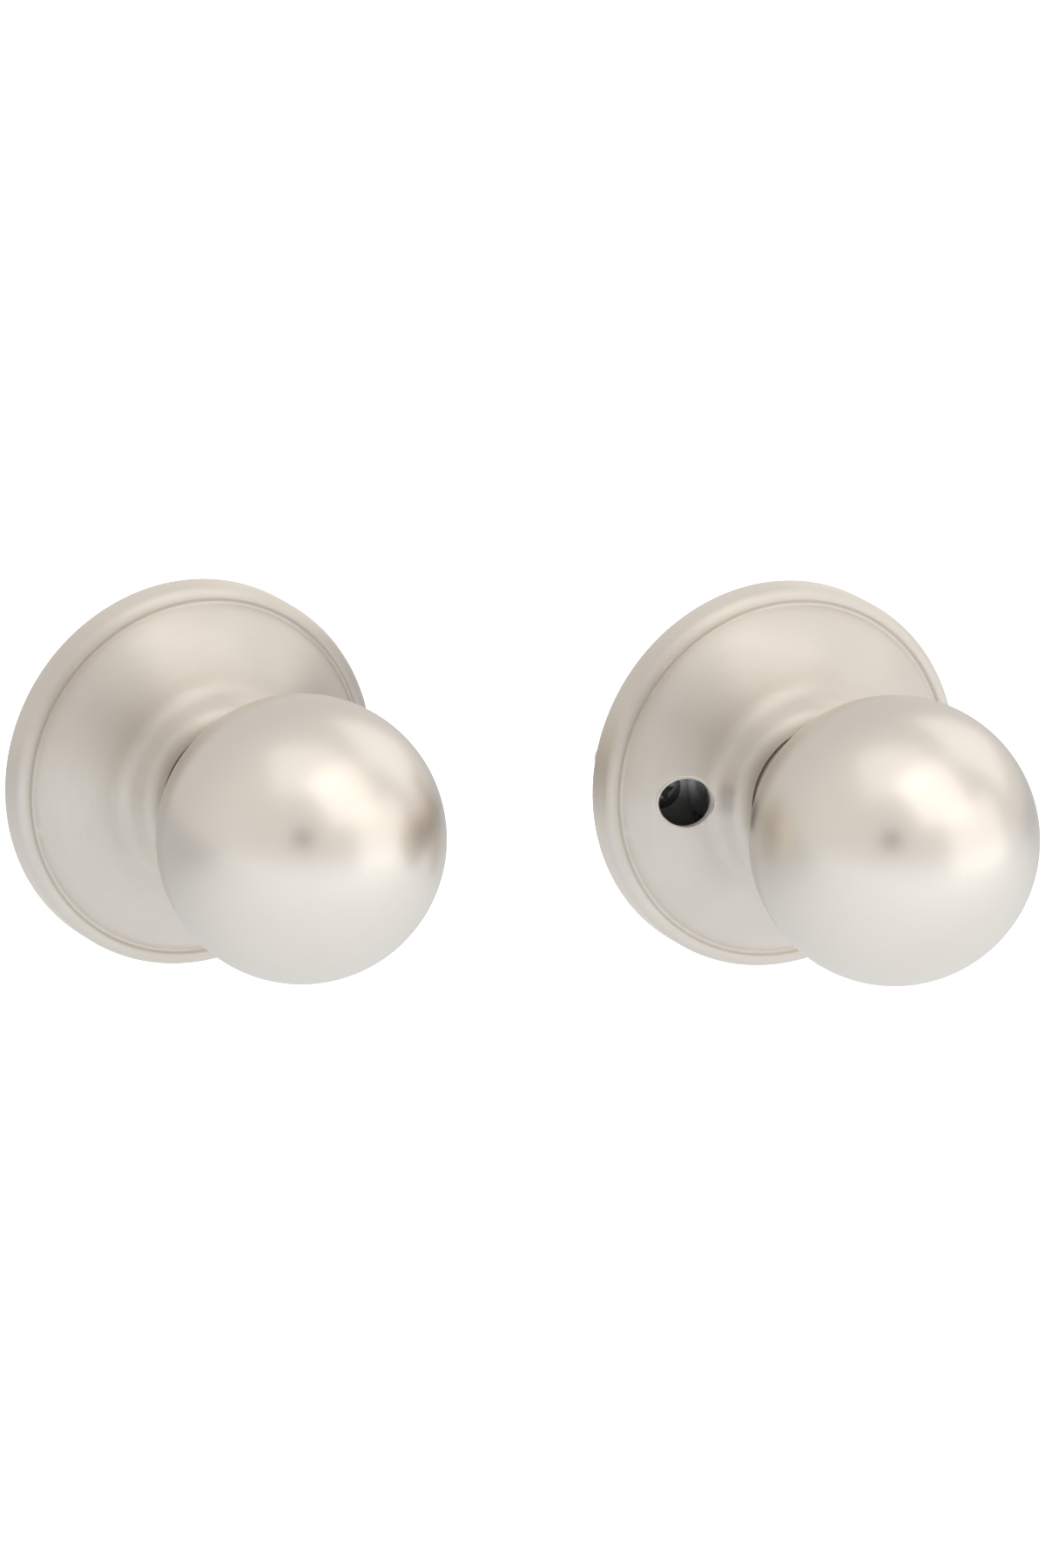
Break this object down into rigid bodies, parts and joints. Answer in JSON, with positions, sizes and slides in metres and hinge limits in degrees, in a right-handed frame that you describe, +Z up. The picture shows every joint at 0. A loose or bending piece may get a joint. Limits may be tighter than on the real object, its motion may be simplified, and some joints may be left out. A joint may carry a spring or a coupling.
{
  "type": "door knob set",
  "caption": "Passage door knob set: ball knobs on round pressed roses, with sprung returns, a half-round spindle and through-door screws.",
  "frame": {"origin": "on the exterior knob's axis, in the plane where the exterior rose meets the door", "axes": "+Y into the door along the knob's axis, +Z up, +X to the right for a person facing the knob; the interior half stands 91.2 mm along +X and 45 mm along -Y, facing the same way"},
  "size_m": [0.1592, 0.1666, 0.068],
  "materials": {
    "satin_nickel": "satin",
    "zinc_plated_steel": "bright zinc plate",
    "die_cast_zinc": "as cast, zinc alloy",
    "sintered_brass": "dull, oiled",
    "spring_steel": "drawn wire",
    "hardened_steel": "black oxide",
    "acetal_washer": "natural acetal"
  },
  "bodies": {
    "door_side": {"exterior_rose": "satin_nickel", "exterior_mounting_plate": "zinc_plated_steel", "exterior_spring_housing": "zinc_plated_steel", "exterior_housing_rivets": "zinc_plated_steel", "exterior_bushing": "sintered_brass", "exterior_thrust_washer": "acetal_washer", "exterior_return_spring": "spring_steel", "interior_rose": "satin_nickel", "interior_mounting_plate": "zinc_plated_steel", "interior_spring_housing": "zinc_plated_steel", "interior_housing_rivets": "zinc_plated_steel", "interior_bushing": "sintered_brass", "interior_thrust_washer": "acetal_washer", "interior_return_spring": "spring_steel", "exterior_threaded_posts": "zinc_plated_steel", "interior_mounting_screws": "zinc_plated_steel"},
    "exterior_knob": {"exterior_ball_shell": "satin_nickel", "exterior_ball_liner": "die_cast_zinc", "exterior_shank": "satin_nickel", "exterior_return_cam": "hardened_steel", "exterior_retaining_ring": "spring_steel", "exterior_spindle": "zinc_plated_steel", "exterior_spindle_driver": "die_cast_zinc", "exterior_spindle_pin": "hardened_steel"},
    "interior_knob": {"interior_ball_shell": "satin_nickel", "interior_ball_liner": "die_cast_zinc", "interior_shank": "satin_nickel", "interior_return_cam": "hardened_steel", "interior_retaining_ring": "spring_steel", "interior_spindle_socket": "die_cast_zinc"}
  },
  "joints": [
    {"name": "exterior_knob_turn", "type": "hinge", "parent": "door_side", "child": "exterior_knob", "pos_m": [0, 0, 0], "axis": [0, -1, 0], "range_deg": [-60, 60], "stiffness_Nm_per_rad": 0.25, "deforming": ["exterior_return_spring"]},
    {"name": "interior_knob_turn", "type": "hinge", "parent": "door_side", "child": "interior_knob", "pos_m": [0.0912, -0.045, 0], "axis": [0, -1, 0], "range_deg": [-60, 60], "stiffness_Nm_per_rad": 0.25, "deforming": ["interior_return_spring"]}
  ]
}
